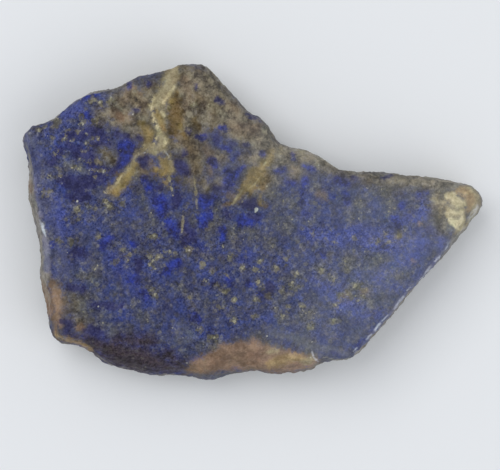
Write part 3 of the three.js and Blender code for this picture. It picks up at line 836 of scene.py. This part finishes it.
        # Olive grains, wider where they crowd.
        ragged = grain * 0.15 + crumb * 0.7
        ball = shade.rise(crowd * 0.9 + pebble.luck * 0.4 + ragged + 0.05 - pebble.gap, -0.45, 0.45)
        olive = shade.ramp(0.5 + pebble.tone * 0.6 + crumb * 0.5, self.grains)
        colour = shade.mix(ball * self.grain_cover, colour, olive)

        # The fine speckle of ground and grains, and the minerals that lie over it.
        lively = self._gather(shade, self.calm, self.speckle)
        glitter = (sand.tone * 0.36 + grain * 0.54) * lively
        colour = shade.mix(1.0, colour, 1.0 + glitter + crumb * 0.2, "MULTIPLY")
        colour = shade.mix(1.0, colour, glitter * 0.04, "ADD")
        colour = self._lay(shade, colour, self.upper, rough)

        # Small pale grains, which glitter a little, and the rind.
        starry = shade.near(Mineral.FLECK, -0.3, 0.4)
        bright = crowd * 0.9 + starry * 0.65 + seed.luck * 1.4 + ragged * 0.5 - 0.92
        spark = shade.rise(bright - seed.gap, -0.1, 0.15)
        colour = shade.mix(spark * self.spark_cover, colour, shade.ramp(0.5 + seed.tone, self.sparks))
        colour = self._rind(shade, place, colour, swirl, crumb)

        # Iron stains, and light and dark over everything.
        colour = shade.mix(shade.rise(stain, 0.0, 0.5), colour, self.warm, "MULTIPLY")
        colour = shade.mix(shade.rise(stain, 0.0, -0.5), colour, self.cool, "MULTIPLY")
        light = 1.0 + (sand.luck * 0.15 + grain * 0.22) * lively + swirl * 0.2
        colour = shade.mix(1.0, colour, light, "MULTIPLY")
        colour = shade.mix(1.0, colour, (sand.luck * 0.018 + grain * 0.026) * lively, "ADD")

        uneven = {
            "Strength": self.relief_strength,
            "Distance": self.relief * MM,
            "Height": crumb * 0.5 + grain * 0.5,
        }
        return shade.finish({
            "Base Color": colour,
            "Roughness": self.dullness - spark * 0.2,
            "Metallic": spark * 0.2,
            "Specular IOR Level": self.gloss,
            "Normal": shade.node("Bump", inputs=uneven, output="Normal"),
        })

    def _bend(self, shade: Shade, place: Wire) -> Wire:
        """Bends the stone's coordinates a little, so that its grains come out ragged.

        Args:
            shade: The material.
            place: The coordinates, in millimetres.

        Returns:
            The bent coordinates.
        """
        swing = shade.raw_cloud(place, self.bend, "Color")
        far = (self.bend_reach,) * 3
        return shade.node("VectorMath", {"operation": "MULTIPLY_ADD"}, {0: swing, 1: far, 2: place})

    def _gather(self, shade: Shade, total: Wire | float, shares: Shares) -> Wire:
        """Adds what each of several minerals adds near its strokes to a total.

        Args:
            shade: The material.
            total: What it is where none of them lies.
            shares: The minerals, each with where its share is full and ends, and how much that is.

        Returns:
            The total at each place.
        """
        for mineral, (low, high, weight) in shares:
            total = total + shade.near(mineral, low, high) * weight
        return total

    def _lay(self, shade: Shade, colour: Wire, tints: Layers, rough: Rough) -> Wire:
        """Lays minerals over a colour, with borders that wander.

        Args:
            shade: The material.
            colour: What lies beneath.
            tints: The minerals and how they show, from the lowest up.
            rough: What makes the borders wander and the grains differ.

        Returns:
            The colour with the minerals over it.
        """
        share = shade.rise(rough.swirl + rough.crumb * 0.5 + rough.tone * 0.8, -0.4, 0.4)
        for mineral, tint in tints:
            edge = shade.field(mineral.value) - tint.reach + rough.swirl * tint.wander
            edge = edge + rough.crumb * (0.8 * tint.wander) + rough.grain * (0.6 * tint.grit)
            cover = (1.0 - shade.rise(edge, -tint.soft, tint.soft)) * tint.cover
            colour = shade.mix(cover, colour, shade.mix(share, seen(tint.dark), seen(tint.light)))
        return colour

    def _rind(self, shade: Shade, place: Wire, colour: Wire, swirl: Wire, crumb: Wire) -> Wire:
        """Lays the weathered rind over the rim and the back, broken where the blue shows through.

        Args:
            shade: The material.
            place: Where, in millimetres.
            colour: What lies beneath.
            swirl: Smooth noise in large blotches.
            crumb: Smooth noise in small blotches.

        Returns:
            The colour with the rind over it.
        """
        # The rind's stops carry painted light that lifts the steep sides.
        rind = shade.ramp(0.5 + swirl * 0.5 + crumb * 0.35, self.rind)
        patchy = shade.cloud(place, self.patch)
        weather = shade.rise(shade.field("weather") + patchy * 1.3 + crumb * 0.35, 0.45, 1.05)
        return shade.mix(weather * self.rind_cover, colour, rind)


@dataclass(frozen=True)
class PaperFinish:
    """The table top's finish: plain, pale and dull.

    Attributes:
        colour: Screen code of its colour.
    """

    colour: str = "#e3e5e8"

    def material(self) -> bpy.types.Material:
        """Builds the material."""
        return Shade("pale_paper").finish({"Base Color": seen(self.colour), "Roughness": 0.9})


@dataclass(frozen=True)
class Coarseness:
    """Lumps and hollows that swing about zero, with finer ones on them.

    Attributes:
        size: How far apart the largest are, in millimetres.
        fade: How fast the finer ones die away.
        step: How many times finer each layer is than the one before.
        layers: How many layers there are.
    """

    size: float
    fade: float
    step: float
    layers: int

    def at(self, place: Vector) -> float:
        """How high it stands at a place, which is in millimetres."""
        return noise.fractal(place / self.size, self.fade, self.step, self.layers)


@dataclass
class Slab:
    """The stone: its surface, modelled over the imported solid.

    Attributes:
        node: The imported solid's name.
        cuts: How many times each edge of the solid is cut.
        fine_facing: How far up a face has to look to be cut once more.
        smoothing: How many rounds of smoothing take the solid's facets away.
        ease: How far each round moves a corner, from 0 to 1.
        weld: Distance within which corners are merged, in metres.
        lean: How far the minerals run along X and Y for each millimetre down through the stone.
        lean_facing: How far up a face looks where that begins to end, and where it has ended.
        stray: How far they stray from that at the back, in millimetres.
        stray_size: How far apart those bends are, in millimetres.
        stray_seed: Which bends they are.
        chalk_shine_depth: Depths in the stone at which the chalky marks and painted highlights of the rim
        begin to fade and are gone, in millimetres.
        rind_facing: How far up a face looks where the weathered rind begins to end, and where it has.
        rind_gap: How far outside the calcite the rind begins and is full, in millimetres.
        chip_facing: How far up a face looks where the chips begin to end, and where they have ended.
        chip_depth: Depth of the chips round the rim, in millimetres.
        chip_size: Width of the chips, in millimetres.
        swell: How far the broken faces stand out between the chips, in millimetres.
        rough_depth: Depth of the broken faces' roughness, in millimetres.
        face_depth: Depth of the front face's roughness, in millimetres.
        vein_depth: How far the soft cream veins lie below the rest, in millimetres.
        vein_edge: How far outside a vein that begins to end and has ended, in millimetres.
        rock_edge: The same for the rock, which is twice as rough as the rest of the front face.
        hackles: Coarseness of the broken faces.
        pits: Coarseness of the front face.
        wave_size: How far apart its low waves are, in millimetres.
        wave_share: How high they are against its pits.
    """

    node: str = "stone"
    cuts: int = 2
    fine_facing: float = 0.1
    smoothing: int = 8
    ease: float = 0.5
    weld: float = 0.001 * MM
    lean: Span = (0.3, -0.22)
    lean_facing: Span = (-0.3, 0.15)
    stray: float = 3.0
    stray_size: float = 11.0
    stray_seed: int = 1
    chalk_shine_depth: Span = (1.0, 4.0)
    rind_facing: Span = (-0.1, 0.5)
    rind_gap: Span = (-0.3, 0.5)
    chip_facing: Span = (0.55, 0.92)
    chip_depth: float = 0.26
    chip_size: float = 2.6
    swell: float = 0.12
    rough_depth: float = 0.2
    face_depth: float = 0.05
    vein_depth: float = 0.04
    vein_edge: Span = (-0.6, 0.8)
    rock_edge: Span = (-0.5, 1.0)
    hackles: Coarseness = Coarseness(0.9, 0.8, 2.2, 3)
    pits: Coarseness = Coarseness(1.1, 0.7, 2.1, 3)
    wave_size: float = 3.2
    wave_share: float = 0.8

    def build(self) -> bpy.types.Object:
        """Models the stone and dresses it.

        Returns:
            The finished piece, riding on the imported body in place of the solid.
        """
        shape = self._refined_solid()
        facing = np.array([v.normal.z for v in shape.verts])
        places = np.array([v.co for v in shape.verts]) / MM
        fields = self._mineral_fields(places, facing)
        self._roughen(shape, places, facing, fields)
        mesh = bpy.data.meshes.new("lapis_slab")
        shape.to_mesh(mesh)
        shape.free()
        for name, values in fields.items():
            write_numbers(mesh, name, values)
        # The rind keeps clear of the calcite, which here takes in the chalky marks and the painted
        # highlights of the rim.
        calcite = np.minimum(fields[Mineral.BONE.value], fields[Mineral.CHALK_AND_SHINE.value])
        weather = (1.0 - smooth_step(facing, *self.rind_facing)) * smooth_step(calcite, *self.rind_gap)
        write_numbers(mesh, "weather", weather)
        mesh.shade_smooth()
        mesh.materials.append(LapisFinish().material())
        piece = bpy.data.objects.new("lapis_slab", mesh)
        bpy.context.scene.collection.objects.link(piece)
        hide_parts(self.node)
        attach(piece, "root")
        return piece

    def _refined_solid(self) -> bmesh.types.BMesh:
        """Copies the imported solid, merges it, and cuts it finely, the upper faces most of all.

        Returns:
            The mesh, which the caller frees.
        """
        shape = bmesh.new()
        shape.from_mesh(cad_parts[self.node].data)
        bmesh.ops.remove_doubles(shape, verts=shape.verts, dist=self.weld)
        bmesh.ops.join_triangles(
            shape, faces=shape.faces, angle_face_threshold=math.pi, angle_shape_threshold=math.pi
        )
        bmesh.ops.subdivide_edges(shape, edges=shape.edges, cuts=self.cuts, use_grid_fill=True)
        shape.normal_update()
        upper = {edge for face in shape.faces if face.normal.z > self.fine_facing for edge in face.edges}
        ordered = [edge for edge in shape.edges if edge in upper]
        bmesh.ops.subdivide_edges(shape, edges=ordered, cuts=1, use_grid_fill=True)
        for _ in range(self.smoothing):
            bmesh.ops.smooth_vert(
                shape, verts=shape.verts, factor=self.ease, use_axis_x=True, use_axis_y=True, use_axis_z=True
            )
        shape.normal_update()
        return shape

    def _mineral_fields(self, places: np.ndarray, facing: np.ndarray) -> dict[str, np.ndarray]:
        """Measures how far each vertex is outside each mineral's strokes or grains.

        Args:
            places: The vertices, in millimetres.
            facing: How far up each vertex looks, from -1 to 1.

        Returns:
            Signed distances in millimetres, by the mineral's name.
        """
        depth = (places[:, 2].max() - places[:, 2]) * (1.0 - smooth_step(facing, *self.lean_facing))
        noise.seed_set(self.stray_seed)
        stray = np.array([self._stray(Vector(p)) for p in places]) * (depth / depth.max())[:, None]
        flat = places[:, :2] + depth[:, None] * np.array(self.lean) + stray
        fields = {mineral.value: distance_to_strokes(flat, strokes) for mineral, strokes in STROKES.items()}
        for mineral, grains in GRAINS.items():
            fields[mineral.value] = distance_to_strokes(flat, tuple((grain, grain) for grain in grains))
        # The chalky marks and the painted highlights of the rim fade out deeper in the stone.
        fields[Mineral.CHALK_AND_SHINE.value] += smooth_step(depth, *self.chalk_shine_depth)
        return fields

    def _stray(self, place: Vector) -> tuple[float, float]:
        """How far the minerals stray at a place, along X and Y."""
        shift = noise.noise_vector(place / self.stray_size)
        return (shift.x * self.stray, shift.y * self.stray)

    def _roughen(
        self, shape: bmesh.types.BMesh, places: np.ndarray, facing: np.ndarray, fields: dict[str, np.ndarray]
    ) -> None:
        """Moves each vertex along its normal: chips on the broken rim and back, fine pits in front.

        Args:
            shape: The mesh.
            places: Its vertices, in millimetres.
            facing: How far up each vertex looks, from -1 to 1.
            fields: How far each vertex is outside each mineral's strokes, by the mineral's name.
        """
        broken = 1.0 - smooth_step(facing, *self.chip_facing)
        vein = 1.0 - smooth_step(fields[Mineral.BONE.value], *self.vein_edge)
        rocky = 1.0 - smooth_step(fields[Mineral.ROCK.value], *self.rock_edge)
        for vertex, place, loose, soft, rock in zip(shape.verts, places, broken, vein, rocky):
            spot = Vector(place)
            uneven = self.pits.at(spot) + self.wave_share * noise.noise(spot / self.wave_size)
            depth = self.face_depth * (1.0 + rock) * uneven + self.vein_depth * soft
            chip = self.chip_depth * chips(spot / self.chip_size) - self.swell
            depth += loose * (chip + self.rough_depth * self.hackles.at(spot))
            moved = vertex.co - vertex.normal * (depth * MM)
            moved.z = max(moved.z, 0.0)
            vertex.co = moved
        shape.normal_update()


def distance_to_strokes(places: np.ndarray, strokes: tuple[Stroke, ...]) -> np.ndarray:
    """Measures how far places are outside the nearest of several strokes.

    Args:
        places: Pairs of X and Y, in millimetres.
        strokes: Chains of (x, y, half width), in tenths of a millimetre.

    Returns:
        Distances in millimetres, less than zero inside a stroke.
    """
    nearest = np.full(len(places), np.inf)
    for stroke in strokes:
        chain = np.array(stroke) * TENTH
        for start, end in zip(chain, chain[1:]):
            first, run = start[:2], end[:2] - start[:2]
            share = np.clip((places - first) @ run / max(run @ run, 1e-9), 0.0, 1.0)
            gap = np.linalg.norm(places - first - share[:, None] * run, axis=1)
            nearest = np.minimum(nearest, gap - (start[2] + share * (end[2] - start[2])))
    return nearest


def chips(place: Vector) -> float:
    """Depth of the shells that break out of a stone's edge, from 0 on a ridge to about 1."""
    nearest, second = noise.voronoi(place)[0][:2]
    return min(1.0, (second - nearest) * 1.3) * 0.6 + 0.4 * noise.noise(place * 0.6)


def write_numbers(mesh: bpy.types.Mesh, name: str, values: np.ndarray) -> None:
    """Stores one number for each vertex under a name."""
    mesh.attributes.new(name, "FLOAT", "POINT").data.foreach_set("value", values.astype(np.float32))


@dataclass(frozen=True)
class Lamp:
    """A soft square light.

    Attributes:
        name: What it is called.
        place: Where it hangs, in metres.
        width: Length of its sides, in metres.
        watts: Its power.
    """

    name: str
    place: Point
    width: float
    watts: float

    def hang(self) -> None:
        """Hangs the light, facing the middle of the table top."""
        light = bpy.data.lights.new(self.name, "AREA")
        light.size = self.width
        light.energy = self.watts
        holder = bpy.data.objects.new(self.name, light)
        holder.location = self.place
        holder.rotation_euler = (-Vector(self.place)).to_track_quat("-Z", "Y").to_euler()
        bpy.context.scene.collection.objects.link(holder)


@dataclass
class Studio:
    """The table top, the lights and the camera that looks straight down on the stone.

    Attributes:
        view_width: Width of what the camera sees at the stone, in millimetres.
        view_centre: What it points at, in millimetres along X and Y.
        view_level: Height at which that width holds, in millimetres.
        lens: Focal length, in millimetres.
        sensor: Width of the camera's sensor, in millimetres.
        table_size: Width of the table top, in metres.
        table_gap: How far it lies below the stone, in millimetres, so that the two don't share a plane.
        lamps: The lights.
        room_colour: Colour of the room's own light.
        room_strength: How strong that is.
    """

    view_width: float = 81.3
    view_centre: Span = (-0.45, -2.15)
    view_level: float = 9.0
    lens: float = 300.0
    sensor: float = 36.0
    table_size: float = 3.0
    table_gap: float = 0.02
    lamps: tuple[Lamp, ...] = (
        Lamp("key_light", (-0.8, 0.8, 1.7), 1.6, 15.5),
        Lamp("fill_light", (1.1, -0.7, 1.5), 1.6, 7.8),
    )
    room_colour: Colour = (0.98, 1.0, 1.02, 1.0)
    room_strength: float = 0.66

    def build(self) -> bpy.types.Object:
        """Hangs the lights, sets the camera up and lays the table top.

        Returns:
            The table top.
        """
        for lamp in self.lamps:
            lamp.hang()
        self._light_the_room()
        self._set_camera()
        return self._lay_table()

    def _lay_table(self) -> bpy.types.Object:
        """Makes the table top.

        Returns:
            Its object.
        """
        shape = bmesh.new()
        bmesh.ops.create_grid(shape, x_segments=1, y_segments=1, size=self.table_size / 2)
        bmesh.ops.translate(shape, verts=shape.verts, vec=(0.0, 0.0, -self.table_gap * MM))
        mesh = bpy.data.meshes.new("table_top")
        shape.to_mesh(mesh)
        shape.free()
        mesh.materials.append(PaperFinish().material())
        table = bpy.data.objects.new("table_top", mesh)
        bpy.context.scene.collection.objects.link(table)
        return table

    def _light_the_room(self) -> None:
        """Fills the room with an even, cool light."""
        world = bpy.data.worlds.new("room")
        world.use_nodes = True
        background = world.node_tree.nodes["Background"]
        background.inputs["Color"].default_value = self.room_colour
        background.inputs["Strength"].default_value = self.room_strength
        bpy.context.scene.world = world

    def _set_camera(self) -> None:
        """Hangs the camera over the stone, looking straight down with Y up the picture."""
        camera = bpy.data.cameras.new("camera")
        camera.lens = self.lens
        camera.sensor_width = self.sensor
        holder = bpy.data.objects.new("camera", camera)
        distance = self.view_width * self.lens / self.sensor
        holder.location = Vector((*self.view_centre, self.view_level + distance)) * MM
        bpy.context.scene.collection.objects.link(holder)
        bpy.context.scene.camera = holder
        bpy.context.scene.view_settings.view_transform = "Standard"


def report(make: Callable[[], bpy.types.Object]) -> None:
    """Builds a sub-assembly and logs the piece that it made."""
    piece = make()
    LOG.info("%s: %d faces", piece.name, len(piece.data.polygons))


def main() -> None:
    """Builds the stone and the studio, and logs each piece."""
    logging.basicConfig(level=logging.INFO, format="%(name)s: %(message)s")
    report(Slab().build)
    report(Studio().build)


if __name__ == "__main__":
    main()
